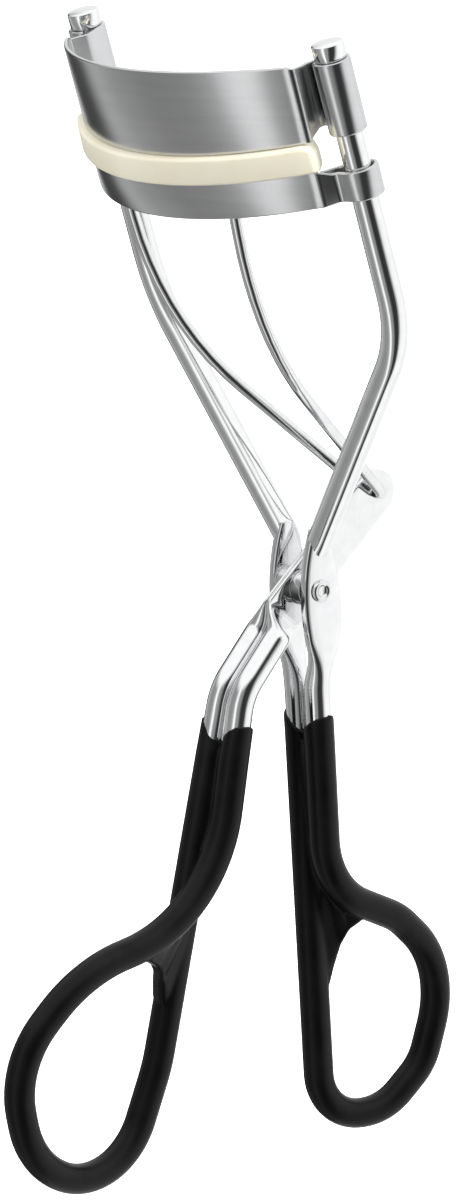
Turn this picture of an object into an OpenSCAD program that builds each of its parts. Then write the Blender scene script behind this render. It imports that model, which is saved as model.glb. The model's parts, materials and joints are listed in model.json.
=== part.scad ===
// Eyelash curler: a bent-wire frame and lever with finger loops, a fixed upper jaw,
// and a lower jaw with a soft pad that slides on the frame's two posts.
// Millimetres, +Z up, X along the pivot axis, the jaws' convex side faces -Y.
// The origin is the centre of the fixed finger loop.

/* [Wire] */
// Diameter of the frame and lever wire
wire_d = 2.4; // [2.2:0.05:2.6]
// Diameter of the link wire
link_d = 1.1; // [1.0:0.05:1.2]
// Outside diameter of the vinyl coat on the handles
grip_d = 2.8; // [2.7:0.05:3.0]
// Half of the spacing between the two wires of each handle shank
shank_x = 1.45; // [1.42:0.01:1.6]

/* [Posts] */
// Spacing of the two guide posts
post_spacing = 35.2; // [34:0.2:36]
// Forward lean of the posts from vertical, in degrees
lean = 17.5; // [16:0.5:19]
// Length of a post from its bend to the top of its cap
post_len = 27.5; // [27:0.5:30]
// Inside bend radius of the posts, on the wire's centre line
post_bend_r = 12; // [8:0.5:12]

/* [Jaws] */
// Outside radius of the curved jaws
jaw_r = 24; // [23:0.5:25]
// How far the front of the jaws stands before the posts
jaw_front = 9.8; // [9:0.1:10.5]
// Thickness of the jaw sheet
sheet = 0.5; // [0.4:0.05:0.6]
// Height of the upper jaw plate
upper_h = 7; // [6:0.5:7]
// How much higher the upper plate stands in the middle than at its folds
crown = 0.9; // [0:0.1:1]
// Height of the lower jaw band
lower_h = 3.4; // [3:0.1:3.6]
// Height of the pad above the lower band
pad_proud = 2.5; // [2:0.1:3]

/* [Lever] */
// Distance from the pivot to the link hole
lever_arm = 11.4; // [11:0.1:12]
// Angle of the lever blade above +Y, in degrees
blade_angle = 43; // [42:0.5:45]
// Thickness of the two lever blades together
blade_t = 1; // [0.8:0.1:1.2]
// Diameter of the pivot rivet's shank
rivet_d = 1.6; // [1.4:0.1:1.8]

/* [Hidden] */
$fn = 96;

// The pivot's place, seen from the centre of the fixed finger loop
pivot_pos = [0, -8.6, 40.4];
post_x = post_spacing / 2;
// Where the two posts bend inwards, seen from the pivot
bend_pos = [0, -3, 25];
ear_x = 2.3;
ear_t = 1.1;
ear_top_z = 4.6;
sweep_sides = 14;
bend_step = 14;
web_t = 1.6;
// Height of the dip line of both coats, seen from the pivot
coat_top_z = -11.2;
// The coats' bore, wide enough for the flats of the swept polygons
core_d = wire_d / cos(180 / sweep_sides) + 0.02;
gap = 0.02;

// Jaw heights, measured along the posts from their bend
pad_top_s = 19.35;
upper_s = pad_top_s + 0.05;
lower_s = pad_top_s - pad_proud - lower_h;
lug_s = lower_s + 0.95;
lug_front = 6.85;
lug_x = 6.2;
rod_x = 7.8;
fold_x = 16.3;
fold_angle = asin(fold_x / jaw_r);
curl_r = 1.7;
curl_bore_r = wire_d / 2 + 0.05;
guide_r = 1.85;
guide_bore_r = wire_d / 2 + 0.2;
cap_r = 1.45;
cap_h = 1.5;

tip_pos = lever_arm * [0, cos(blade_angle), sin(blade_angle)];
link_hole_r = link_d / 2 + 0.08;

metal = "#c9ccd0";
steel = "#a4a6a8";
vinyl = "#1b1b1c";
cream = "#efe8cf";

// Centre line of the fixed handle's wire, as corners with bend radii, seen from the pivot
fixed_route = [
    [[shank_x, 0.5, -6.6], 0],
    [[shank_x, 1.9, -28.1], 7.8],
    [[1.2, 10.4, -32.0], 8],
    [[0.6, 16.7, -37.6], 9.4],
    [[0, 14.4, -46.7], 5.5],
    [[-0.6, 10.5, -50.6], 5.5],
    [[-1.42, 3.6, -50.8], 4.7],
    [[-shank_x, 0.5, -6.6], 0]];

// Centre line of the lever's wire
lever_route = [
    [[1.3, -3.1, -3.1], 0],
    [[shank_x, -7.9, -8.7], 6],
    [[shank_x, -11.1, -28.9], 13.8],
    [[1.3, -25.5, -31.5], 14],
    [[0.4, -32.7, -39.3], 8.7],
    [[-0.4, -30.1, -48.9], 8.7],
    [[-1.2, -20.0, -53.7], 6.8],
    [[-shank_x, -15.3, -42.4], 14],
    [[-shank_x, -7.9, -8.7], 6],
    [[-1.3, -3.1, -3.1], 0]];

// Points of an arc that rounds corner b between a and c
function corner_arc(a, b, c, r) =
    let (back = (a - b) / norm(a - b))
    let (ahead = (c - b) / norm(c - b))
    let (half = acos(back * ahead) / 2)
    let (middle = (back + ahead) / norm(back + ahead))
    let (centre = b + middle * r / sin(half))
    let (start = b + back * r / tan(half))
    let (turn = 180 - 2 * half)
    let (steps = max(1, ceil(turn / bend_step)))
    [for (i = [0:steps]) centre + cos(turn * i / steps) * (start - centre)
        - sin(turn * i / steps) * r * back];

// A route of corners with bend radii, turned into points
function bent(route) =
    let (last = len(route) - 1)
    [for (i = [0:last])
        each (route[i][1] == 0 ? [route[i][0]]
            : corner_arc(route[i - 1][0], route[i][0], route[i + 1][0], route[i][1]))];

function direction(points, i) =
    let (v = points[min(i + 1, len(points) - 1)] - points[max(i - 1, 0)])
    v / norm(v);

function square_to(v, along) =
    let (w = v - (v * along) * along)
    w / norm(w);

// Side directions that turn with the points and don't twist about them
function side_dirs(points) =
    [for (i = 0, side = square_to([0.3, 0.5, 0.8], direction(points, 0));
        i < len(points);
        i = i + 1, side = square_to(side, direction(points, i))) side];

// A round wire swept along points
module sweep(points, d) {
    sides = side_dirs(points);
    count = len(points);
    rings = [for (i = [0:count - 1], k = [0:sweep_sides - 1])
        let (turn = 360 * k / sweep_sides)
        points[i] + d / 2 * (cos(turn) * sides[i]
            + sin(turn) * cross(direction(points, i), sides[i]))];
    walls = [for (i = [0:count - 2], k = [0:sweep_sides - 1])
        let (a = i * sweep_sides + k)
        let (b = i * sweep_sides + (k + 1) % sweep_sides)
        each [[a, a + sweep_sides, b], [b, a + sweep_sides, b + sweep_sides]]];
    first_end = [for (k = [0:sweep_sides - 1]) k];
    last_end = [for (k = [sweep_sides - 1:-1:0]) (count - 1) * sweep_sides + k];
    polyhedron(rings, concat(walls, [first_end, last_end]));
}

// Everything is drawn with the pivot at zero and moved so that the loop's centre is the origin
module from_pivot() {
    translate(pivot_pos) children();
}

// Local frame of the jaws: Z along the posts from their bend, -Y to the front
module on_posts() {
    translate(bend_pos) rotate([lean, 0, 0]) children();
}

// A flat outline given in Y and Z, made a plate centred on x
module plate_yz(x, thickness) {
    translate([x - thickness / 2, 0, 0]) rotate([90, 0, 90]) linear_extrude(thickness) children();
}

module pin_x(r, x_from, x_to) {
    translate([x_from, 0, 0]) rotate([0, 90, 0]) cylinder(r = r, h = x_to - x_from);
}

// A part of a ring about the centre of the jaws' curve
module jaw_sector(r_out, r_in, half_angle) {
    reach = 2 * r_out;
    translate([0, jaw_r - jaw_front]) difference() {
        intersection() {
            circle(r_out);
            polygon([[0, 0], reach * [-sin(half_angle), -cos(half_angle)],
                [0, -reach], reach * [sin(half_angle), -cos(half_angle)]]);
        }
        circle(r_in);
    }
}

// The strip that folds back from a jaw's end to the ring round a post, for side 1 or -1
module fold_strip(side, ring_r) {
    end_y = -(jaw_r * cos(fold_angle) - jaw_r + jaw_front);
    polygon([[side * (fold_x - 0.45), end_y - 0.35], [side * (fold_x + 0.1), end_y],
        [side * (post_x - ring_r + 0.45), -0.2], [side * (post_x - ring_r), -0.2]]);
}

// One post, its bend and the slanting run down to the ear
module post(side) {
    straight_s = 4.6;
    down = [side * ear_x, 0.1, 3.2];
    corner = bend_pos + [side * post_x, 0, 0];
    route = [
        [corner + (straight_s + 0.2) * [0, -sin(lean), cos(lean)], 0],
        [corner, post_bend_r],
        [down, 0]];
    from_pivot() {
        difference() {
            sweep(bent(route), wire_d - gap);
            translate([-20, -10, ear_top_z - 10]) cube([40, 20, 10]);
        }
        on_posts() translate([side * post_x, 0, straight_s])
            cylinder(d = wire_d, h = post_len - 0.6 - straight_s);
    }
}

module left_post() {
    color(metal) post(-1);
}

module right_post() {
    color(metal) post(1);
}

module ear_outline() {
    ear_long = 8.5;
    ear_wide = 2.1;
    arc_r = (ear_long * ear_long + ear_wide * ear_wide) / (2 * ear_wide);
    intersection() {
        translate([0.45, -1.4]) rotate(4.3) intersection() {
            translate([arc_r - ear_wide, 0]) circle(arc_r);
            translate([ear_wide - arc_r, 0]) circle(arc_r);
        }
        translate([-5, ear_top_z - 14]) square([10, 14]);
    }
}

// Both ears, both shank wires and the finger loop, bent from one wire
module handle_frame() {
    color(metal) from_pivot() {
        difference() {
            for (side = [-1, 1]) plate_yz(side * ear_x, ear_t) ear_outline();
            pin_x(rivet_d / 2, -5, 5);
        }
        sweep(bent(fixed_route), wire_d);
    }
}

// A route of corners whose two ends are moved down to a height
function ends_at(route, z) =
    let (last = len(route) - 1)
    let (a = route[0][0])
    let (b = route[1][0])
    let (c = route[last - 1][0])
    let (d = route[last][0])
    [for (i = [0:last])
        i == 0 ? [a + (b - a) * (z - a.z) / (b.z - a.z), 0]
            : i == last ? [d + (c - d) * (z - d.z) / (c.z - d.z), 0]
            : route[i]];

// Vinyl coat over the fixed handle, with the web that closes the crotch of the loop
module fixed_grip() {
    coat = bent(ends_at(fixed_route, coat_top_z));
    core = bent(ends_at(fixed_route, coat_top_z + 0.5));
    color(vinyl) from_pivot() difference() {
        union() {
            sweep(coat, grip_d);
            plate_yz(0, web_t) polygon([[1.95, -24.3], [3.1, -27.5], [6.6, -30.3], [5.4, -31.3],
                [4.4, -32.4], [2.9, -34.8]]);
        }
        sweep(core, core_d);
    }
}

module pivot_rivet() {
    head_r = 1.05;
    head_h = 0.35;
    reach = ear_x + ear_t / 2;
    color(metal) from_pivot() {
        pin_x(rivet_d / 2, -reach - 0.1, reach + 0.1);
        for (side = [-1, 1]) translate([side * (reach + head_h / 2), 0, 0])
            pin_x(head_r, -head_h / 2, head_h / 2);
    }
}

// Two washers that centre the lever between the ears
module pivot_spacers() {
    inner = blade_t / 2 + 0.03;
    outer = ear_x - ear_t / 2;
    color(metal) from_pivot() for (side = [-1, 1]) difference() {
        translate([side * (inner + outer) / 2, 0, 0])
            pin_x(1.7, -(outer - inner) / 2, (outer - inner) / 2);
        pin_x(rivet_d / 2, -5, 5);
    }
}

// The flattened end of the lever, from the shoulder past the pivot to the round tip
module blade_outline() {
    half_w = 2.1;
    rotate(blade_angle) {
        translate([-4.4, -half_w]) square([4.4 + lever_arm, 2 * half_w]);
        translate([lever_arm, 0]) circle(half_w);
    }
}

// The blade, both shank wires and the thumb loop, bent from one wire
module lever_frame() {
    color(metal) from_pivot() difference() {
        union() {
            plate_yz(0, blade_t) blade_outline();
            sweep(bent(lever_route), wire_d);
            plate_yz(0, 2.6) rotate(blade_angle) translate([-5.6, -1.1]) square([1.6, 2.2]);
        }
        pin_x(rivet_d / 2 + 0.05, -3, 3);
        translate(tip_pos) pin_x(link_hole_r, -3, 3);
    }
}

// A lever route between two heights, with its ends moved down past the first corners
function lever_coat(z) =
    let (a = lever_route[1][0])
    let (b = lever_route[2][0])
    let (c = lever_route[8][0])
    let (d = lever_route[7][0])
    concat([[a + (b - a) * (z - a.z) / (b.z - a.z), 0]],
        [for (i = [2:7]) lever_route[i]],
        [[c + (d - c) * (z - c.z) / (d.z - c.z), 0]]);

// Vinyl coat over the lever's handle and loop
module lever_grip() {
    coat = bent(lever_coat(coat_top_z));
    core = bent(lever_coat(coat_top_z + 0.5));
    color(vinyl) from_pivot() difference() {
        union() {
            sweep(coat, grip_d);
            plate_yz(0, web_t) polygon([[-12.4, -26.5], [-14.2, -28], [-17.4, -30], [-17, -31.4],
                [-15.9, -32.4], [-14.3, -34.8], [-13.2, -32]]);
        }
        sweep(core, core_d);
    }
}

// Where the link's upper ends lie, seen from the pivot
lug_pos = bend_pos + [0, -lug_s * sin(lean) - lug_front * cos(lean),
    lug_s * cos(lean) - lug_front * sin(lean)];

// One bowed rod of the link, from the lever's tip to its hook in the lower jaw
module link_rod(side) {
    route = [
        [tip_pos + [side * 0.55, 0, 0], 0],
        [tip_pos + [side * 1.3, 0, 0], 0.6],
        [[side * 6.9, -10.4, 24.3], 33],
        [lug_pos + [side * rod_x, 0, 0], 0.9],
        [lug_pos + [side * (lug_x - 0.8), 0, 0], 0]];
    sweep(bent(route), link_d - gap);
}

// The link: one V of wire whose middle turns in the lever's tip
module link_wire() {
    color(metal) from_pivot() {
        translate(tip_pos) pin_x(link_d / 2, -0.75, 0.75);
        for (side = [-1, 1]) link_rod(side);
    }
}

// Curved plate with a fold and a rolled tube round each post
module upper_jaw() {
    tube_h = upper_h - 0.4;
    crown_r = crown > 0 ? (fold_x * fold_x + crown * crown) / (2 * crown) : 5000;
    color(steel) from_pivot() on_posts() translate([0, 0, upper_s]) difference() {
        union() {
            intersection() {
                linear_extrude(upper_h + crown) jaw_sector(jaw_r, jaw_r - sheet, fold_angle);
                translate([0, 20, upper_h + crown - crown_r]) rotate([90, 0, 0])
                    cylinder(r = crown_r, h = 60, $fn = 720);
            }
            linear_extrude(tube_h) for (side = [-1, 1]) {
                fold_strip(side, curl_r);
                translate([side * post_x, 0]) circle(curl_r);
            }
        }
        for (side = [-1, 1]) translate([side * post_x, 0, -1])
            cylinder(r = curl_bore_r, h = upper_h + 2);
    }
}

// Round cap pressed over the end of a post
module post_cap(side) {
    from_pivot() on_posts() translate([side * post_x, 0, post_len - cap_h]) difference() {
        union() {
            cylinder(r = cap_r, h = cap_h - 0.15);
            translate([0, 0, cap_h - 0.15]) cylinder(r1 = cap_r, r2 = cap_r - 0.15, h = 0.15);
        }
        translate([0, 0, -1]) cylinder(d = wire_d + gap, h = cap_h + 1 - 0.58);
    }
}

module left_cap() {
    color(metal) post_cap(-1);
}

module right_cap() {
    color(metal) post_cap(1);
}

// Curved band with a guide loop round each post
module lower_jaw() {
    guide_h = 2.7;
    color(steel) from_pivot() on_posts() translate([0, 0, lower_s]) difference() {
        union() {
            linear_extrude(lower_h) jaw_sector(jaw_r, jaw_r - sheet, fold_angle);
            linear_extrude(guide_h) for (side = [-1, 1]) {
                fold_strip(side, guide_r);
                translate([side * post_x, 0]) circle(guide_r);
            }
        }
        for (side = [-1, 1]) translate([side * post_x, 0, -1])
            cylinder(r = guide_bore_r, h = lower_h + 2);
    }
}

// L-shaped rail behind the band: the floor under the pad and the wall behind it
module pad_channel() {
    floor_s = lower_s + 1.9;
    floor_t = 0.4;
    wall_r = jaw_r - sheet - 2.1;
    wall_h = lower_h - 1.9;
    color(steel) from_pivot() on_posts() translate([0, 0, floor_s]) {
        linear_extrude(floor_t) jaw_sector(jaw_r - sheet - gap, wall_r, fold_angle - 2);
        linear_extrude(wall_h) jaw_sector(wall_r, wall_r - floor_t, fold_angle - 2);
    }
}

// The two tabs under the channel that hold the link's ends
module link_lugs() {
    tab_t = 0.6;
    tab_w = 2.9;
    hole_r = link_d / 2 + 0.45;
    top_s = lower_s + 1.9 - gap;
    color(steel) from_pivot() on_posts() for (side = [-1, 1]) difference() {
        translate([side * lug_x - tab_t / 2, -lug_front - tab_w / 2, lug_s - tab_w / 2 + 0.3])
            cube([tab_t, tab_w, top_s - lug_s + tab_w / 2 - 0.3]);
        translate([0, -lug_front, lug_s]) pin_x(hole_r, -12, 12);
    }
}

// Soft pad: a root in the channel and a wider top that stands before both jaws
module lash_pad() {
    root_s = lower_s + 1.9 + 0.4 + gap;
    top_from_s = lower_s + lower_h + gap;
    pad_angle = fold_angle + 0.5;
    color(cream) from_pivot() on_posts() {
        translate([0, 0, root_s]) linear_extrude(top_from_s - root_s + 0.1)
            jaw_sector(jaw_r - sheet - 0.05, jaw_r - sheet - 2.05, fold_angle - 2.5);
        translate([0, 0, top_from_s]) linear_extrude(pad_top_s - top_from_s)
            jaw_sector(jaw_r + 0.7, jaw_r - 2.9, pad_angle);
    }
}

left_post();
right_post();
handle_frame();
fixed_grip();
pivot_rivet();
pivot_spacers();
lever_frame();
lever_grip();
link_wire();
upper_jaw();
left_cap();
right_cap();
lower_jaw();
pad_channel();
link_lugs();
lash_pad();
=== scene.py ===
import json
import math

import bmesh
import bpy
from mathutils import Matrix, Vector


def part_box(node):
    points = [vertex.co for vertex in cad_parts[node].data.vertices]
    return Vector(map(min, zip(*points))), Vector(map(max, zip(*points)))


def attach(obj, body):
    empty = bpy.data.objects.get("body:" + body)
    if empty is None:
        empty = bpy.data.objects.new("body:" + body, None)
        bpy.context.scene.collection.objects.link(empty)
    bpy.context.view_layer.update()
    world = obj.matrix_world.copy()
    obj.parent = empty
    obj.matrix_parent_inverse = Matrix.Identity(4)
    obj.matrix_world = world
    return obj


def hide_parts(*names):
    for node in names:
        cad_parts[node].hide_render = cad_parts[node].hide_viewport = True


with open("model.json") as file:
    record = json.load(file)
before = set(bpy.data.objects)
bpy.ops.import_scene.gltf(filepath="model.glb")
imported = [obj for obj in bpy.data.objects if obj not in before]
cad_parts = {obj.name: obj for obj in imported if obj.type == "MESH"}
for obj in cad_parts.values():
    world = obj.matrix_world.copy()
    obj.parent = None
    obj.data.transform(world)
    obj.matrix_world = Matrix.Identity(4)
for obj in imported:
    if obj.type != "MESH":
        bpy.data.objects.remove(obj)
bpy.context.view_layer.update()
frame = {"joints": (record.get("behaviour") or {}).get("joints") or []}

# Lengths below are millimetres, measured from the pivot; meshes are written in metres.
MM = 0.001
JOINTS = {joint["name"]: joint for joint in frame["joints"]}
PIVOT = Vector(JOINTS["lever_pivot"]["pos_m"]) / MM
TIP = Vector(JOINTS["link_swing"]["pos_m"]) / MM - PIVOT
X_AXIS = Vector((1, 0, 0))

# The posts' direction, and the direction from the jaws' front to the posts
UP = -Vector(JOINTS["jaw_slide"]["axis"])
BACK = UP.cross(X_AXIS)
BEND = Vector((0, -3, 25))
POST_X = sum(corner.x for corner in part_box("right_cap")) / 2 / MM

WIRE_R = 1.2
COAT_R = 1.4
LINK_R = 0.55
SHEET = 0.5
SHANK_X = 1.45
EAR_X = 2.3
EAR_T = 1.1
SHEET_CORNER = 0.16

# The jaws: an arc of this radius whose front stands before the posts
JAW_R = 24
JAW_FRONT = 9.8
JAW_CENTRE_Y = JAW_R - JAW_FRONT
FOLD_ANGLE = math.asin(16.3 / JAW_R)
SHEET_LIMIT = FOLD_ANGLE - 0.02

# Heights along the posts, from their bend
BAND_S = (13.45, 16.85)
PAD_S = (16.87, 19.35)
PLATE_S = (19.4, 26.4)
PLATE_CROWN = 0.9
CAP_S = (26.0, 27.5)
POST_TOP_S = 26.9
LUG_S = BAND_S[0] + 0.95
LUG_FRONT = 6.85
LUG_X = 6.2
LUG_HOLE_R = 1.0
ROD_X = 7.8

# How far the dip line of a coat sags between the two wires, and the web's thickness
DIP_SAG = 2.1
WEB_T = 1.7


# ---------------------------------------------------------------- curves

def corner_arc(a, b, c, radius, step):
    """Points of the arc that rounds corner b between a and c."""
    to_a = (a - b).normalized()
    to_c = (c - b).normalized()
    half = to_a.angle(to_c) / 2
    turn = math.pi - 2 * half
    centre = b + (to_a + to_c).normalized() * radius / math.sin(half)
    start = b + to_a * radius / math.tan(half) - centre
    end = b + to_c * radius / math.tan(half) - centre
    count = max(2, math.ceil(math.degrees(turn) / step))
    return [centre + (start * math.sin(turn * (1 - i / count)) + end * math.sin(turn * i / count))
            / math.sin(turn) for i in range(count + 1)]


def bent(route, step=4):
    """Centre line of a bent wire: route is a list of (corner, bend radius)."""
    points = [Vector(route[0][0])]
    for i in range(1, len(route) - 1):
        a, b, c = (Vector(route[j][0]) for j in (i - 1, i, i + 1))
        points += corner_arc(a, b, c, route[i][1], step)
    return points + [Vector(route[-1][0])]


def evenly(points, spacing):
    """The same line with points at an even spacing."""
    lengths = [(b - a).length for a, b in zip(points, points[1:])]
    count = max(2, round(sum(lengths) / spacing))
    result = [points[0].copy()]
    travelled, segment = 0.0, 0
    for i in range(1, count):
        target = sum(lengths) * i / count
        while travelled + lengths[segment] < target:
            travelled += lengths[segment]
            segment += 1
        share = (target - travelled) / lengths[segment]
        result.append(points[segment].lerp(points[segment + 1], share))
    return result + [points[-1].copy()]


def transported(points, first=None):
    """Tangent, side and second side at each point, turned as little as possible."""
    tangents = []
    for i in range(len(points)):
        tangents.append((points[min(i + 1, len(points) - 1)] - points[max(i - 1, 0)]).normalized())
    side = first or tangents[0].orthogonal()
    frames = []
    for tangent in tangents:
        side = (side - tangent * side.dot(tangent)).normalized()
        frames.append((tangent, side, tangent.cross(side)))
    return frames


def smooth(value):
    value = min(1.0, max(0.0, value))
    return value * value * (3 - 2 * value)


def mix(a, b, share):
    return a + (b - a) * share


# ---------------------------------------------------------------- meshes

def make_object(name, bm, sharp=35):
    """An object from a bmesh in pivot-centred millimetres, smooth but for sharp creases."""
    bmesh.ops.remove_doubles(bm, verts=bm.verts, dist=0.0005)
    bmesh.ops.recalc_face_normals(bm, faces=bm.faces)
    mesh = bpy.data.meshes.new(name)
    for vert in bm.verts:
        vert.co = (vert.co + PIVOT) * MM
    bm.to_mesh(mesh)
    bm.free()
    obj = bpy.data.objects.new(name, mesh)
    bpy.context.scene.collection.objects.link(obj)
    shade(obj, sharp)
    return obj


def shade(obj, sharp=35):
    obj.data.shade_smooth()
    obj.data.set_sharp_from_angle(angle=math.radians(sharp))


def loft(bm, rings, capped=True):
    """Skins a list of closed rings that have the same number of points."""
    loops = [[bm.verts.new(point) for point in ring] for ring in rings]
    count = len(rings[0])
    for lower, upper in zip(loops, loops[1:]):
        for k in range(count):
            after = (k + 1) % count
            bm.faces.new((lower[k], lower[after], upper[after], upper[k]))
    if capped:
        bm.faces.new(list(reversed(loops[0])))
        bm.faces.new(loops[-1])


def tube_rings(points, radius, sides=32, rounding=0.0, first=None):
    """Round rings along points; rounding draws in both ends with a quarter round."""
    frames = transported(points, first)
    rings = []
    for point, (tangent, side, other) in zip(points, frames):
        rings.append([point + radius * (math.cos(t) * side + math.sin(t) * other)
                      for t in (math.tau * k / sides for k in range(sides))])
    if rounding:
        for index, sign in ((0, -1), (-1, 1)):
            tangent, side, other = frames[index]
            extra = []
            for turn in (math.radians(a) for a in (22, 45, 67, 85)):
                centre = points[index] + sign * tangent * rounding * math.sin(turn)
                shrunk = radius - rounding * (1 - math.cos(turn))
                extra.append([centre + shrunk * (math.cos(t) * side + math.sin(t) * other)
                              for t in (math.tau * k / sides for k in range(sides))])
            rings = list(reversed(extra)) + rings if index == 0 else rings + extra
    return rings


def tube(bm, points, radius, sides=32, rounding=0.0):
    loft(bm, tube_rings(points, radius, sides, rounding))


def rounded_outline(corners, steps=4):
    """A closed 2D outline: corners are (x, y, radius), rounded with arcs."""
    points = []
    count = len(corners)
    for i in range(count):
        a, b, c = (Vector((*corners[(i + j) % count][:2], 0)) for j in (-1, 0, 1))
        turn = math.degrees(math.pi - (a - b).angle(c - b))
        arc = corner_arc(a, b, c, corners[i][2], turn / steps * 1.001)
        points += [point.to_2d() for point in arc]
    return points


def lathe(bm, profile, origin, axis, first, sides=64):
    """Turns a profile of (radius, height) about an axis; a zero radius closes it."""
    second = axis.cross(first)
    rings = []
    for radius, height in profile:
        radius = max(radius, 0.002)
        rings.append([origin + axis * height + radius * (math.cos(t) * first + math.sin(t) * second)
                      for t in (math.tau * k / sides for k in range(sides))])
    loft(bm, rings)


def plate(bm, outline, x, thickness, bevel):
    """A flat plate across X with softened edges: outline is a list of (y, z)."""
    inner = shrunk_outline(outline, bevel)
    half = thickness / 2
    steps = ((inner, -half), (outline, -half + bevel), (outline, half - bevel), (inner, half))
    rings = [[Vector((x + offset, y, z)) for y, z in ring] for ring, offset in steps]
    loft(bm, rings)


def shrunk_outline(outline, by):
    """The outline drawn in by a small distance, along each point's own normal."""
    result = []
    count = len(outline)
    area = sum(outline[i][0] * outline[(i + 1) % count][1] - outline[(i + 1) % count][0] * outline[i][1]
               for i in range(count))
    turn = 1 if area > 0 else -1
    for i in range(count):
        before, after = Vector(outline[i - 1]), Vector(outline[(i + 1) % count])
        along = (after - before).normalized()
        result.append((outline[i][0] - turn * along.y * by, outline[i][1] + turn * along.x * by))
    return result


def cut(obj, cutter):
    """Cuts obj by an exact boolean, and removes the cutter."""
    modifier = obj.modifiers.new("cut", "BOOLEAN")
    modifier.operation = "DIFFERENCE"
    modifier.solver = "EXACT"
    modifier.object = cutter
    apply_modifiers(obj)
    bpy.data.objects.remove(cutter)


def apply_modifiers(obj):
    bpy.context.view_layer.update()
    evaluated = obj.evaluated_get(bpy.context.evaluated_depsgraph_get())
    mesh = bpy.data.meshes.new_from_object(evaluated)
    old = obj.data
    obj.modifiers.clear()
    obj.data = mesh
    bpy.data.meshes.remove(old)


def pin_object(centre, radius, half_length, sides=48):
    """A plain pin along X, used as a cutter for holes."""
    bm = bmesh.new()
    tube(bm, [centre - X_AXIS * half_length, centre + X_AXIS * half_length], radius, sides)
    return make_object("cutter", bm)


def place(obj, body, node, material):
    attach(obj, body)
    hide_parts(node)
    obj.data.materials.clear()
    obj.data.materials.append(material)
    return obj


# ---------------------------------------------------------------- materials

def new_material(name):
    material = bpy.data.materials.new(name)
    material.use_nodes = True
    nodes = material.node_tree.nodes
    return material, nodes, material.node_tree.links, nodes["Principled BSDF"]


def add_noise(nodes, links, scale, detail=3.0, stretch=(1, 1, 1)):
    """Noise over the object's own metres, stretched along an axis."""
    place_node = nodes.new("ShaderNodeTexCoord")
    mapping = nodes.new("ShaderNodeMapping")
    mapping.inputs["Scale"].default_value = stretch
    noise = nodes.new("ShaderNodeTexNoise")
    noise.inputs["Scale"].default_value = scale
    noise.inputs["Detail"].default_value = detail
    links.new(place_node.outputs["Object"], mapping.inputs["Vector"])
    links.new(mapping.outputs["Vector"], noise.inputs["Vector"])
    return noise.outputs["Fac"]


def add_range(nodes, links, source, low, high):
    """Maps a 0 to 1 texture to a range."""
    node = nodes.new("ShaderNodeMapRange")
    node.inputs["To Min"].default_value = low
    node.inputs["To Max"].default_value = high
    links.new(source, node.inputs["Value"])
    return node.outputs["Result"]


def add_tint(nodes, links, source, dark, light):
    """Turns a texture into a colour between dark and light."""
    ramp = nodes.new("ShaderNodeValToRGB")
    ramp.color_ramp.elements[0].position = 0.3
    ramp.color_ramp.elements[0].color = (*dark, 1)
    ramp.color_ramp.elements[1].position = 0.7
    ramp.color_ramp.elements[1].color = (*light, 1)
    links.new(source, ramp.inputs["Fac"])
    return ramp.outputs["Color"]


def add_bump(nodes, links, source, strength, distance, target):
    bump = nodes.new("ShaderNodeBump")
    bump.inputs["Strength"].default_value = strength
    bump.inputs["Distance"].default_value = distance
    links.new(source, bump.inputs["Height"])
    links.new(bump.outputs["Normal"], target)


def polished_metal(name, dark, light, roughness):
    """Plated wire: near-mirror, with faint handling marks and plating ripple."""
    material, nodes, links, shader = new_material(name)
    shader.inputs["Metallic"].default_value = 1.0
    marks = add_noise(nodes, links, 900, 4)
    links.new(add_tint(nodes, links, marks, dark, light), shader.inputs["Base Color"])
    smears = add_noise(nodes, links, 260, 2)
    gloss = add_range(nodes, links, smears, roughness * 0.7, roughness * 1.5)
    links.new(gloss, shader.inputs["Roughness"])
    ripple = add_noise(nodes, links, 520, 2)
    add_bump(nodes, links, ripple, 0.06, 0.00004, shader.inputs["Normal"])
    return material


def satin_steel(name):
    """Soft-brushed plated sheet, its grain running round the jaw."""
    material, nodes, links, shader = new_material(name)
    shader.inputs["Metallic"].default_value = 1.0
    grain = add_noise(nodes, links, 420, 5, (0.3, 0.3, 4))
    links.new(add_tint(nodes, links, grain, (0.60, 0.605, 0.61), (0.635, 0.64, 0.645)),
              shader.inputs["Base Color"])
    patches = add_noise(nodes, links, 160, 3, (1, 1, 2))
    links.new(add_range(nodes, links, patches, 0.17, 0.24), shader.inputs["Roughness"])
    add_bump(nodes, links, grain, 0.03, 0.00002, shader.inputs["Normal"])
    return material


def dipped_vinyl(name):
    """Satin black vinyl with the slight unevenness of a dipped coat."""
    material, nodes, links, shader = new_material(name)
    tone = add_noise(nodes, links, 350, 4)
    links.new(add_tint(nodes, links, tone, (0.0022, 0.0022, 0.0024), (0.0048, 0.0048, 0.005)),
              shader.inputs["Base Color"])
    links.new(add_range(nodes, links, tone, 0.30, 0.44), shader.inputs["Roughness"])
    shader.inputs["Specular IOR Level"].default_value = 0.17
    skin = add_noise(nodes, links, 1500, 5)
    add_bump(nodes, links, skin, 0.12, 0.00005, shader.inputs["Normal"])
    return material


def soft_silicone(name):
    """Matt cream silicone rubber, slightly translucent."""
    material, nodes, links, shader = new_material(name)
    tone = add_noise(nodes, links, 220, 3)
    links.new(add_tint(nodes, links, tone, (0.86, 0.80, 0.63), (0.90, 0.86, 0.71)),
              shader.inputs["Base Color"])
    links.new(add_range(nodes, links, tone, 0.48, 0.6), shader.inputs["Roughness"])
    shader.inputs["Subsurface Weight"].default_value = 0.25
    shader.inputs["Subsurface Radius"].default_value = (1.0, 0.8, 0.45)
    shader.inputs["Subsurface Scale"].default_value = 0.0008
    skin = add_noise(nodes, links, 2600, 4)
    add_bump(nodes, links, skin, 0.15, 0.00004, shader.inputs["Normal"])
    return material


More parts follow.
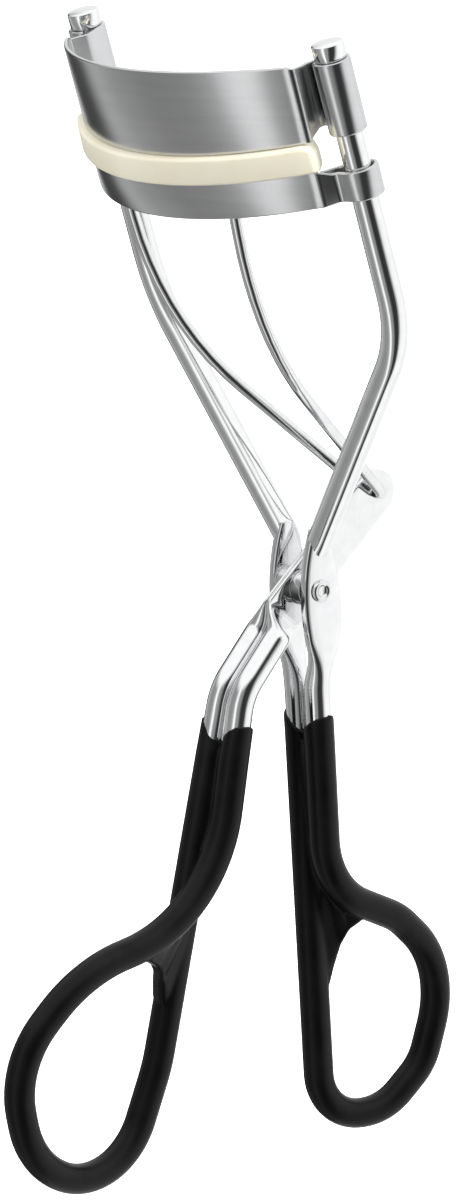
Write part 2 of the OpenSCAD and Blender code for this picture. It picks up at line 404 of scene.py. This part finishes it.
CHROME = polished_metal("polished_chrome_wire", (0.80, 0.805, 0.81), (0.86, 0.865, 0.87), 0.07)
CAP_CHROME = polished_metal("cap_plating", (0.82, 0.825, 0.83), (0.88, 0.885, 0.89), 0.05)
LINK_STEEL = polished_metal("link_spring_wire", (0.74, 0.745, 0.75), (0.81, 0.815, 0.82), 0.10)
RIVET_STEEL = polished_metal("rivet_plating", (0.72, 0.725, 0.73), (0.80, 0.805, 0.81), 0.12)
STEEL = satin_steel("satin_jaw_steel")
VINYL = dipped_vinyl("black_dipped_vinyl")
SILICONE = soft_silicone("cream_silicone")


# ---------------------------------------------------------------- frame wire

FIXED_ROUTE = [
    ((SHANK_X, 0.5, -6.6), 0),
    ((SHANK_X, 1.9, -28.1), 7.8),
    ((1.2, 10.4, -32.0), 8),
    ((0.6, 16.7, -37.6), 9.4),
    ((0, 14.4, -46.7), 5.5),
    ((-0.6, 10.5, -50.6), 5.5),
    ((-SHANK_X, 3.6, -50.8), 4.7),
    ((-SHANK_X, 0.5, -6.6), 0)]

LEVER_ROUTE = [
    ((SHANK_X, -3.1, -3.1), 0),
    ((SHANK_X, -7.9, -8.7), 6),
    ((SHANK_X, -11.1, -28.9), 13.8),
    ((1.3, -25.5, -31.5), 14),
    ((0.4, -32.7, -39.3), 8.7),
    ((-0.4, -30.1, -48.9), 8.7),
    ((-1.2, -20.0, -53.7), 6.8),
    ((-SHANK_X, -15.3, -42.4), 14),
    ((-SHANK_X, -7.9, -8.7), 6),
    ((-SHANK_X, -3.1, -3.1), 0)]

# Height of the dip line of both coats, and how many rings of a coat follow its sag
DIP_Z = -11.2
SAG_RINGS = 6


def on_posts(x, y, s):
    """A point given across, behind and up the posts from their bend."""
    return BEND + X_AXIS * x + BACK * y + UP * s


def post_wire(side, name):
    """A post with its bend; the slanting run ends in a point on the ear's flat face."""
    ear_inner = EAR_X - EAR_T / 2 + 0.05
    meets_ear = Vector((1.2, 0.25, 2.8))
    slant = Vector((EAR_X + 0.3, 0.1, 4.7))
    corner = BEND + X_AXIS * POST_X
    route = [(corner + UP * POST_TOP_S, 0), (corner, 12), (slant, 0.5), (meets_ear, 0)]
    points = evenly(bent(route), 0.5)
    bm = bmesh.new()
    tube(bm, points, WIRE_R, 40)
    for vert in bm.verts:
        if vert.co.z < 8:
            vert.co.x = max(vert.co.x, ear_inner)
    if side < 0:
        for vert in bm.verts:
            vert.co.x = -vert.co.x
    return make_object(name, bm)


# The ear's lens shape: half its length and width, its centre and its tilt
EAR_HALF_LONG = 8.5
EAR_HALF_WIDE = 2.1
EAR_CENTRE = (0.45, -1.4)
EAR_TILT = math.radians(4.3)
EAR_TOP = 5.6
# Heights between which the ear turns round, and between which it steps in to the shank
EAR_ROUND = (-4.4, -9.2)
EAR_BEND = (-5.2, -9.6)
RING_SIDES = 40


def falling(z, heights):
    """0 above the first height, 1 below the second, smooth between."""
    high, low = heights
    return smooth((high - z) / (high - low))


def ear_ring(side, z):
    """A cross-section of the fixed handle: flat ear above, round wire below."""
    arc_r = (EAR_HALF_LONG ** 2 + EAR_HALF_WIDE ** 2) / (2 * EAR_HALF_WIDE)
    along = z - EAR_CENTRE[1]
    lens_w = math.sqrt(max(0.0, arc_r ** 2 - along ** 2)) - arc_r + EAR_HALF_WIDE
    round_share = falling(z, EAR_ROUND)
    half_w = mix(max(lens_w, 0.0), WIRE_R, round_share)
    half_t = mix(EAR_T / 2, WIRE_R, round_share)
    x = side * mix(EAR_X, SHANK_X, falling(z, EAR_BEND))
    top, elbow = Vector(FIXED_ROUTE[0][0]), Vector(FIXED_ROUTE[1][0])
    wire_y = top.y + (z - top.z) * (elbow.y - top.y) / (elbow.z - top.z)
    lens_y = EAR_CENTRE[0] - along * math.sin(EAR_TILT)
    y = mix(lens_y, wire_y, falling(z, (EAR_ROUND[0] + 1, EAR_ROUND[1])))
    ring = []
    for k in range(RING_SIDES):
        c, s = math.cos(math.tau * k / RING_SIDES), math.sin(math.tau * k / RING_SIDES)
        flat_c = math.copysign(abs(c) ** mix(0.35, 1, round_share), c)
        flat_s = math.copysign(abs(s) ** mix(0.8, 1, round_share), s)
        ring.append(Vector((x + side * half_t * flat_c, y - half_w * flat_s, z)))
    return ring


def matched(rings, ring):
    """The rings with their points renumbered to start and turn as a neighbouring ring does."""
    shift = min(range(RING_SIDES), key=lambda k: (rings[0][k] - ring[0]).length)
    ahead = (rings[0][(shift + 1) % RING_SIDES] - ring[1]).length
    behind = (rings[0][shift - 1] - ring[1]).length
    step = 1 if ahead < behind else -1
    order = [(shift + step * k) % RING_SIDES for k in range(RING_SIDES)]
    return [[points[k] for k in order] for points in rings]


def frame_handle():
    """Both ears, the two shank wires and the finger loop, bent from one wire."""
    heights = [EAR_TOP - 0.02 * i ** 2 for i in range(5)]
    heights += [EAR_TOP - 0.5 - 0.35 * i for i in range(44)]
    join_z = heights[-1] - 0.3
    centre_line = evenly(bent(FIXED_ROUTE), 0.5)
    below = [i for i, point in enumerate(centre_line) if point.z < join_z]
    covered = centre_line[below[0]:below[-1] + 1]
    rings = [ear_ring(1, z) for z in heights]
    rings += tube_rings(covered, WIRE_R, RING_SIDES, first=X_AXIS)
    left = [ear_ring(-1, z) for z in reversed(heights)]
    rings += matched(left, rings[-1])
    bm = bmesh.new()
    loft(bm, rings)
    return make_object("frame_handle_wire", bm, 32)


# ---------------------------------------------------------------- lever

BLADE_DIR = TIP.normalized()
BLADE_WIDE = X_AXIS.cross(BLADE_DIR)
BLADE_HALF = 2.1
LEAF_X = 0.255
LEAF_T = 0.24
# How far behind the pivot the flat leaves end, and the length over which they swell to round wire
LEAF_BACK = 3.1
PINCH = 2.6
HOLE_GAP = 0.08
RIVET_HOLE_R = 0.85


def lever_ring(centre, tangent, flat):
    """A cross-section of the lever's wire: flat is 1 in the blade and 0 where it is round."""
    wide_dir = tangent.cross(X_AXIS).normalized()
    points = []
    for k in range(RING_SIDES):
        c, s = math.cos(math.tau * k / RING_SIDES), math.sin(math.tau * k / RING_SIDES)
        boxed_c = math.copysign(abs(c) ** 0.3, c)
        boxed_s = math.copysign(abs(s) ** 0.6, s)
        thick = mix(WIRE_R * c, LEAF_T * boxed_c, flat)
        wide = mix(WIRE_R * s, BLADE_HALF * boxed_s, flat)
        points.append(centre + X_AXIS * thick + wide_dir * wide)
    return points


def blade_leaf(side):
    """One leaf of the blade, from its round tip back past the pivot."""
    rings = []
    for turn in (86, 74, 62, 50, 38, 26, 13, 0):
        along = TIP.length + BLADE_HALF * math.sin(math.radians(turn))
        shrink = 1 - math.cos(math.radians(turn))
        centre = BLADE_DIR * along + X_AXIS * side * LEAF_X
        ring = lever_ring(centre, -BLADE_DIR * side, 1)
        rings.append([point - BLADE_WIDE * (point - centre).dot(BLADE_WIDE) * shrink for point in ring])
    for along in (10, 6, 2, 0, -2, -2.9):
        centre = BLADE_DIR * along + X_AXIS * side * LEAF_X
        rings.append(lever_ring(centre, -BLADE_DIR * side, 1))
    return rings


def lever_wire():
    """The lever: two leaves of the blade that swell into the shank wires and the thumb loop."""
    spacing = 0.35
    start = BLADE_DIR * -LEAF_BACK
    route = [(start + X_AXIS * SHANK_X, 0)] + LEVER_ROUTE[1:-1] + [(start - X_AXIS * SHANK_X, 0)]
    centre_line = evenly(bent(route), spacing)
    last = len(centre_line) - 1
    rings = blade_leaf(1)
    for i, (point, (tangent, _, _)) in enumerate(zip(centre_line, transported(centre_line))):
        travelled = min(i, last - i) * spacing
        flat = 1 - smooth(travelled / PINCH)
        side = 1 if i < last / 2 else -1
        pinched = X_AXIS * side * (SHANK_X - LEAF_X) * flat
        rings.append(lever_ring(point - pinched, tangent, flat))
    rings += list(reversed(blade_leaf(-1)))
    bm = bmesh.new()
    loft(bm, rings)
    lever = make_object("lever_wire", bm, 30)
    cut(lever, pin_object(TIP, LINK_R + HOLE_GAP, 3))
    cut(lever, pin_object(Vector(), RIVET_HOLE_R, 3))
    shade(lever, 30)
    return lever


# The corner and bend radius that bow each rod of the link
ROD_BOW = ((6.9, -10.4, 24.3), 33)


def link_wire():
    """The link: one wire from hook to hook through the hole in the lever's tip."""
    lug = on_posts(0, -LUG_FRONT, LUG_S)
    half = [(TIP, 0), (TIP + X_AXIS * 1.25, 0.62), ROD_BOW,
            (lug + X_AXIS * ROD_X, 0.9), (lug + X_AXIS * (LUG_X - 0.8), 0)]
    right = bent(half)[1:]
    left = [Vector((-p.x, p.y, p.z)) for p in reversed(right)]
    bm = bmesh.new()
    tube(bm, evenly(left + right, 0.3), LINK_R, 24, 0.12)
    return make_object("link_spring_wire", bm)


# ---------------------------------------------------------------- vinyl coats

def sag(ring, centre, amount):
    """Lowers the side of a coat's ring that faces the other wire."""
    inward = -math.copysign(1, centre.x)
    for point in ring:
        facing = (1 + inward * (point.x - centre.x) / COAT_R) / 2
        point.z -= amount * facing ** 1.5


def coat(name, route, web):
    """A dipped coat: both shank sleeves and the loop, with the web that closes the crotch.
    The dip line sags to a V between the two wires."""
    centre_line = evenly(bent(route), 0.5)
    inside = [i for i, point in enumerate(centre_line) if point.z < DIP_Z]
    covered = centre_line[inside[0]:inside[-1] + 1]
    rings = tube_rings(covered, COAT_R, 36)
    for depth in range(SAG_RINGS):
        amount = DIP_SAG * (1 - depth / SAG_RINGS)
        sag(rings[depth], covered[depth], amount)
        sag(rings[-1 - depth], covered[-1 - depth], amount)
    bm = bmesh.new()
    loft(bm, rings)
    web_sheet(bm, web)
    obj = make_object(name, bm)
    remesh(obj, 0.16, 4)
    return obj


def web_sheet(bm, web, bevel=0.3):
    """The web as a thick sheet whose outline points each have their own place across X."""
    outline = [(y, z) for _, y, z in web]
    half = WEB_T / 2
    rings = []
    for ring, offset in ((shrunk_outline(outline, bevel), -half), (outline, -half + bevel),
                         (outline, half - bevel), (shrunk_outline(outline, bevel), half)):
        rings.append([Vector((corner[0] + offset, y, z)) for corner, (y, z) in zip(web, ring)])
    loft(bm, rings)


def remesh(obj, voxel, smoothing):
    """Melts joined shapes into one skin, as a dipped coat does."""
    modifier = obj.modifiers.new("skin", "REMESH")
    modifier.mode = "VOXEL"
    modifier.voxel_size = voxel * MM
    modifier.use_smooth_shade = True
    soften = obj.modifiers.new("soften", "SMOOTH")
    soften.factor = 0.5
    soften.iterations = smoothing
    apply_modifiers(obj)
    obj.data.shade_smooth()


# ---------------------------------------------------------------- jaws

def circle_points(centre_x, radius, start, turn, count=30):
    """Points round a post, from a start angle through a turn, in degrees."""
    angles = [math.radians(start + turn * i / count) for i in range(count + 1)]
    return [Vector((centre_x + radius * math.cos(a), radius * math.sin(a), 0)) for a in angles]


# Middle radii of the upper plate's tubes and of the band's guide loops
CURL_R = 1.45
GUIDE_R = 1.6


def front_arc(count=80):
    """The middle surface of the jaw sheet across the front, from fold to fold."""
    radius = JAW_R - SHEET / 2
    angles = [mix(-SHEET_LIMIT, SHEET_LIMIT, i / count) for i in range(count + 1)]
    return [Vector((radius * math.sin(a), JAW_CENTRE_Y - radius * math.cos(a), 0)) for a in angles]


def folded_end(corners, loop):
    """The path from the right fold, round its corners, to a loop round the right post."""
    route = [(front_arc()[-2], 0)] + corners + [(loop[0], 0)]
    return bent(route, 6)[1:-1] + loop


def sheet_strip(name, path, heights):
    """Sheet metal that follows a path round the jaw; heights gives (low, high) at each point."""
    half, corner = SHEET / 2, SHEET_CORNER
    rings = []
    for (point, (tangent, _, _)), (low, high) in zip(zip(path, transported(path)), heights):
        normal = Vector((tangent.y, -tangent.x, 0))
        outline = rounded_outline([(-half, low, corner), (half, low, corner),
                                   (half, high, corner), (-half, high, corner)], 3)
        rings.append([on_posts(point.x + normal.x * n, point.y + normal.y * n, s) for n, s in outline])
    bm = bmesh.new()
    loft(bm, rings)
    return make_object(name, bm, 40)


def symmetric_path(front, right):
    """The front arc with the same end shape on both sides."""
    left = [Vector((-p.x, p.y, 0)) for p in reversed(right)]
    return left + front + right


def distances(path):
    """Distance along the path, at each of its points."""
    lengths = [0.0]
    for a, b in zip(path, path[1:]):
        lengths.append(lengths[-1] + (b - a).length)
    return lengths


def jaw_sheet(name, right, heights_past_fold, crown=0.0):
    """A curved plate with the same folded end on both sides; right starts at the fold."""
    front = front_arc()
    path = symmetric_path(front, right)
    past_fold = [heights_past_fold(t) for t in distances(front[-1:] + right)[1:]]
    low, high = heights_past_fold(0)
    across = [math.asin(max(-1, min(1, point.x / JAW_R))) / SHEET_LIMIT for point in front]
    flat = [(low, high + crown * (1 - share ** 2)) for share in across]
    return sheet_strip(name, path, list(reversed(past_fold)) + flat + past_fold)


def upper_jaw():
    """The fixed plate: fold, concave strip and a tube rolled round each post."""
    loop = circle_points(POST_X, CURL_R, 176, -306, 44)
    right = folded_end([((16.2, -3.3, 0), 0.4), ((15.7, -1.4, 0), 1.5)], loop)

    def heights(t):
        tube_top = smooth(t / 1.2)
        notch = smooth((t - 0.5) / 0.5) * smooth((3.4 - t) / 0.7)
        return PLATE_S[0] + 0.7 * notch, PLATE_S[1] - 0.4 * tube_top

    return jaw_sheet("upper_jaw_plate", right, heights, PLATE_CROWN)


def lower_jaw():
    """The moving band: fold, a short concave strip and an open loop round each post."""
    loop = circle_points(POST_X, GUIDE_R, -84, 236, 40)
    right = folded_end([((16.15, -3.35, 0), 0.5), ((16.75, -1.75, 0), 0.8)], loop)
    right += [Vector((15.5, -0.9, 0)), Vector((14.9, -2.1, 0))]

    def heights(t):
        return BAND_S[0], BAND_S[1] - 0.7 * smooth(t / 1.6)

    return jaw_sheet("lower_jaw_band", right, heights)


def around_jaw(radius, angle, s):
    """A point at a radius and angle of the jaws' arc, and a height up the posts."""
    return on_posts(radius * math.sin(angle), JAW_CENTRE_Y - radius * math.cos(angle), s)


def pad_channel():
    """The L-shaped rail behind the band that holds the pad's root."""
    wall_r, floor_s, floor_t = 21.4, 15.35, 0.4
    front_r = JAW_R - SHEET - 0.03
    outline = rounded_outline([
        (wall_r - floor_t, floor_s, 0.15), (front_r, floor_s, 0.08),
        (front_r, floor_s + floor_t, 0.08), (wall_r, floor_s + floor_t, 0.1),
        (wall_r, BAND_S[1], 0.15), (wall_r - floor_t, BAND_S[1], 0.15)])
    limit = FOLD_ANGLE - math.radians(2)
    count = 72
    rings = [[around_jaw(r, mix(-limit, limit, i / count), s) for r, s in outline]
             for i in range(count + 1)]
    bm = bmesh.new()
    loft(bm, rings)
    return make_object("pad_channel_rail", bm)


def link_lugs():
    """The two tabs under the channel, each with its hole for the link's hook."""
    half_w, top_s = 1.45, 15.33
    bottom_s = LUG_S - half_w + 0.3
    shape = rounded_outline([
        (-LUG_FRONT - half_w, bottom_s, 0.7), (-LUG_FRONT + half_w, bottom_s, 0.7),
        (-LUG_FRONT + half_w, top_s, 0.1), (-LUG_FRONT - half_w, top_s, 0.1)], 6)
    outline = [tuple(on_posts(0, y, s).yz) for y, s in shape]
    bm = bmesh.new()
    for side in (1, -1):
        plate(bm, outline, side * LUG_X, 0.6, 0.08)
    lugs = make_object("link_lug_tabs", bm)
    cut(lugs, pin_object(on_posts(0, -LUG_FRONT, LUG_S), LUG_HOLE_R, 12))
    shade(lugs)
    return lugs


def lash_pad():
    """The silicone pad: a root in the channel and a wider crowned top with rounded ends."""
    low, high = PAD_S
    root_low = 15.8
    front_r, back_r = JAW_R + 0.7, JAW_R - 2.9
    limit = FOLD_ANGLE + math.radians(0.5)
    root_limit = FOLD_ANGLE - math.radians(2.9)
    end_round = 1.15
    count = 110
    rings = []
    for i in range(count + 1):
        share = 0.5 - 0.5 * math.cos(math.pi * i / count)
        angle = mix(-limit, limit, share)
        to_end = JAW_R * (limit - abs(angle))
        inside = max(0.0, end_round - to_end)
        drop = end_round - math.sqrt(max(0.0, end_round ** 2 - inside ** 2))
        narrow = 0.25 * (1 - smooth(to_end / 0.35))
        top = high - drop
        past_root = smooth((abs(angle) - root_limit) / math.radians(0.9))
        bottom = mix(root_low, low - 0.25, past_root)
        outline = rounded_outline([
            (back_r + 0.45, bottom, 0.1), (front_r - 1.35, bottom, 0.1),
            (front_r - 1.35, low, 0.08), (front_r - narrow, low, 0.22),
            (front_r - 0.06 - narrow, top, 0.34), (back_r + 0.06 + narrow, top, 0.5),
            (back_r + narrow, low, 0.22), (back_r + 0.45, low, 0.08)], 5)
        wave = 0.012 * math.sin(9 * angle) + 0.008 * math.sin(23 * angle + 1)
        rings.append([around_jaw(r - wave * smooth(to_end / 2), angle, s) for r, s in outline])
    bm = bmesh.new()
    loft(bm, rings)
    return make_object("silicone_lash_pad", bm, 50)


# ---------------------------------------------------------------- turned pieces

def post_cap(side, name):
    """A round cap with a soft top edge and a turned-in lip."""
    low, high = CAP_S
    radius = 1.45
    profile = [(0, low), (1.26, low), (1.38, low + 0.02), (radius, low + 0.1),
               (radius, high - 0.14), (1.43, high - 0.07), (1.38, high - 0.02), (1.3, high), (0, high)]
    bm = bmesh.new()
    lathe(bm, profile, on_posts(side * POST_X, 0, 0), UP, X_AXIS)
    return make_object(name, bm, 50)


def pivot_rivet():
    """A tubular rivet with a rolled head on each ear."""
    reach = EAR_X + EAR_T / 2
    head = [(0, 0.1), (0.40, 0.1), (0.50, 0.18), (0.58, 0.29), (0.72, 0.345), (0.88, 0.33),
            (1.0, 0.22), (1.05, 0.1), (1.03, -0.02), (0.8, -0.02)]
    right = [(r, reach + h) for r, h in head]
    left = [(r, -h) for r, h in reversed(right)]
    bm = bmesh.new()
    lathe(bm, left[::-1] + right[::-1], Vector(), X_AXIS, Vector((0, 1, 0)))
    return make_object("rolled_pivot_rivet", bm, 50)


def pivot_spacers():
    """Two washers that centre the blade between the ears."""
    inner, outer, edge = 0.53, EAR_X - EAR_T / 2, 0.06
    bore_r, rim_r, count = 0.81, 1.7, 64
    profile = [(bore_r, inner), (rim_r - edge, inner), (rim_r, inner + edge),
               (rim_r, outer - edge), (rim_r - edge, outer), (bore_r, outer)]
    bm = bmesh.new()
    for side in (1, -1):
        rings = []
        for radius, height in profile + profile[:1]:
            rings.append([Vector((side * height, radius * math.cos(t), radius * math.sin(t)))
                          for t in (math.tau * k / count for k in range(count))])
        loft(bm, rings, capped=False)
    return make_object("pivot_spacer_washers", bm)


# ---------------------------------------------------------------- assembly

# Outlines of the two webs: down the wire that sweeps out, along the free edge, up the other wire
FIXED_WEB = [
    (0, 0.1, -14.4), (0, 1.4, -14.4), (0, 1.9, -24.5), (0.6, 2.7, -26.8), (1.1, 4.3, -28.8),
    (1.2, 6.8, -30.6), (0.9, 5.9, -31.7), (0.2, 5.1, -32.5), (-0.6, 4.75, -34), (-1.1, 4.4, -36),
    (-1.3, 3.9, -38), (-1.3, 2.9, -37), (-1, 2.2, -32), (-0.3, 1.2, -24.5)]
LEVER_WEB = [
    (0, -8.8, -14.4), (0, -10, -19.5), (0.4, -11.6, -24.5), (0.9, -13.6, -27.3), (1.2, -17.2, -30.2),
    (1.1, -19.4, -31.2), (0.6, -17.9, -32), (0.1, -16.8, -32.6), (-0.3, -16.2, -33.4),
    (-0.8, -15.9, -34.3), (-1.2, -15.6, -35.8), (-1.4, -15.2, -37.5), (-1.3, -14.2, -36.5),
    (-0.9, -12.9, -31), (-0.3, -11.6, -26), (0, -10.4, -21), (0, -9.2, -14.4)]

place(post_wire(-1, "left_post_wire"), "frame", "left_post", CHROME)
place(post_wire(1, "right_post_wire"), "frame", "right_post", CHROME)
place(frame_handle(), "frame", "handle_frame", CHROME)
place(coat("fixed_handle_coat", FIXED_ROUTE, FIXED_WEB), "frame", "fixed_grip", VINYL)
place(pivot_rivet(), "frame", "pivot_rivet", RIVET_STEEL)
place(pivot_spacers(), "frame", "pivot_spacers", RIVET_STEEL)
place(upper_jaw(), "frame", "upper_jaw", STEEL)
place(post_cap(-1, "left_post_cap"), "frame", "left_cap", CAP_CHROME)
place(post_cap(1, "right_post_cap"), "frame", "right_cap", CAP_CHROME)
place(lever_wire(), "lever", "lever_frame", CHROME)
place(coat("lever_handle_coat", LEVER_ROUTE, LEVER_WEB), "lever", "lever_grip", VINYL)
place(link_wire(), "link", "link_wire", LINK_STEEL)
place(lower_jaw(), "lower_jaw", "lower_jaw", STEEL)
place(pad_channel(), "lower_jaw", "pad_channel", STEEL)
place(link_lugs(), "lower_jaw", "link_lugs", STEEL)
pad = place(lash_pad(), "lower_jaw", "lash_pad", SILICONE)


# ---------------------------------------------------------------- studio

# Height of the floor, in metres
FLOOR_Z = -0.075


def backdrop():
    """A pale floor that sweeps up into a backdrop on every side."""
    bm = bmesh.new()
    profile = [(0, 0), (1.6, 0), (2.0, 0.03), (2.4, 0.15), (2.7, 0.4), (2.85, 0.8), (2.9, 3.0)]
    rings = [[Vector((r * math.cos(t), r * math.sin(t), FLOOR_Z + h))
              for t in (math.tau * k / 72 for k in range(72))] for r, h in profile]
    loft(bm, rings, capped=False)
    bmesh.ops.remove_doubles(bm, verts=bm.verts, dist=0.00001)
    mesh = bpy.data.meshes.new("pale_floor")
    bm.to_mesh(mesh)
    bm.free()
    floor = bpy.data.objects.new("pale_floor", mesh)
    bpy.context.scene.collection.objects.link(floor)
    floor.data.shade_smooth()
    material, nodes, links, shader = new_material("pale_paper")
    shader.inputs["Base Color"].default_value = (0.92, 0.92, 0.92, 1)
    shader.inputs["Roughness"].default_value = 0.9
    shader.inputs["Emission Color"].default_value = (1, 1, 1, 1)
    shader.inputs["Emission Strength"].default_value = 1.0
    floor.data.materials.append(material)
    floor.visible_glossy = False
    floor.visible_diffuse = False
    floor.visible_shadow = False


# Brightness of the surroundings by bearing, in degrees from the front towards +X
WORLD_BANDS = [
    (-180, 0.9), (-135, 1.0), (-118, 0.8), (-108, 0.05), (-92, 0.05), (-78, 0.5), (-60, 0.34),
    (-40, 0.26), (-20, 0.28), (-4, 0.4), (3, 0.8), (9, 1.0), (17, 1.0), (24, 0.36), (36, 0.28),
    (46, 0.26), (54, 0.08), (64, 0.03), (92, 0.04), (104, 0.4), (114, 0.85), (128, 0.95),
    (150, 1.0), (180, 0.9)]


def colour_socket(sockets, name):
    """The colour socket of a mix node, which has sockets of other types by the same name."""
    return next(socket for socket in sockets if socket.name == name and socket.type == "RGBA")


def studio_world():
    """Soft studio surroundings: pale walls with bright strip boxes and dark gaps between them."""
    world = bpy.data.worlds.new("studio")
    bpy.context.scene.world = world
    world.use_nodes = True
    nodes, links = world.node_tree.nodes, world.node_tree.links
    background = nodes["Background"]
    coord = nodes.new("ShaderNodeTexCoord")
    split = nodes.new("ShaderNodeSeparateXYZ")
    links.new(coord.outputs["Generated"], split.inputs[0])
    back = nodes.new("ShaderNodeMath")
    back.operation = "MULTIPLY"
    back.inputs[1].default_value = -1
    links.new(split.outputs["Y"], back.inputs[0])
    angle = nodes.new("ShaderNodeMath")
    angle.operation = "ARCTAN2"
    links.new(split.outputs["X"], angle.inputs[0])
    links.new(back.outputs[0], angle.inputs[1])
    turn = nodes.new("ShaderNodeMapRange")
    turn.inputs["From Min"].default_value = -math.pi
    turn.inputs["From Max"].default_value = math.pi
    links.new(angle.outputs[0], turn.inputs["Value"])
    ramp = nodes.new("ShaderNodeValToRGB")
    ramp.color_ramp.interpolation = "EASE"
    while len(ramp.color_ramp.elements) < len(WORLD_BANDS):
        ramp.color_ramp.elements.new(0.5)
    for element, (degrees, level) in zip(ramp.color_ramp.elements, WORLD_BANDS):
        element.position = (degrees + 180) / 360
        element.color = (level, level, level, 1)
    links.new(turn.outputs["Result"], ramp.inputs["Fac"])
    height = nodes.new("ShaderNodeMapRange")
    height.interpolation_type = "SMOOTHSTEP"
    height.inputs["From Min"].default_value = 0.42
    height.inputs["From Max"].default_value = 0.64
    links.new(split.outputs["Z"], height.inputs["Value"])
    blend = nodes.new("ShaderNodeMix")
    blend.data_type = "RGBA"
    links.new(height.outputs["Result"], blend.inputs["Factor"])
    links.new(ramp.outputs["Color"], colour_socket(blend.inputs, "A"))
    colour_socket(blend.inputs, "B").default_value = (1, 1, 1, 1)
    links.new(colour_socket(blend.outputs, "Result"), background.inputs["Color"])
    background.inputs["Strength"].default_value = 1.15


def area_light(name, bearing, elevation, distance, size, power):
    """A soft box that faces the object."""
    data = bpy.data.lights.new(name, "AREA")
    data.shape = "RECTANGLE"
    data.size, data.size_y = size
    data.energy = power
    light = bpy.data.objects.new(name, data)
    target = PIVOT * MM
    a, e = math.radians(bearing), math.radians(elevation)
    direction = Vector((math.sin(a) * math.cos(e), -math.cos(a) * math.cos(e), math.sin(e)))
    light.location = target + direction * distance
    light.rotation_euler = direction.to_track_quat("Z", "Y").to_euler()
    light.visible_glossy = False
    bpy.context.scene.collection.objects.link(light)


def camera():
    """Three-quarter view from the front right, a little above."""
    bearing, elevation = math.radians(52.4), math.radians(11.0)
    distance, lens = 0.556, 124.5
    aim = Vector((0.05, -8.4, -0.26))
    look_at = (PIVOT + aim) * MM
    direction = Vector((math.sin(bearing) * math.cos(elevation),
                        -math.cos(bearing) * math.cos(elevation), math.sin(elevation)))
    data = bpy.data.cameras.new("camera")
    data.sensor_fit = "VERTICAL"
    data.sensor_height = 24
    data.lens = lens
    data.clip_start = 0.01
    camera_object = bpy.data.objects.new("camera", data)
    camera_object.location = look_at + direction * distance
    camera_object.rotation_euler = direction.to_track_quat("Z", "Y").to_euler()
    bpy.context.scene.collection.objects.link(camera_object)
    bpy.context.scene.camera = camera_object


bpy.context.scene.view_settings.view_transform = "Standard"
camera()
backdrop()
studio_world()
area_light("key_box", 110, 35, 0.7, (0.35, 0.6), 5)
area_light("front_box", 5, 25, 0.8, (0.2, 0.7), 3)
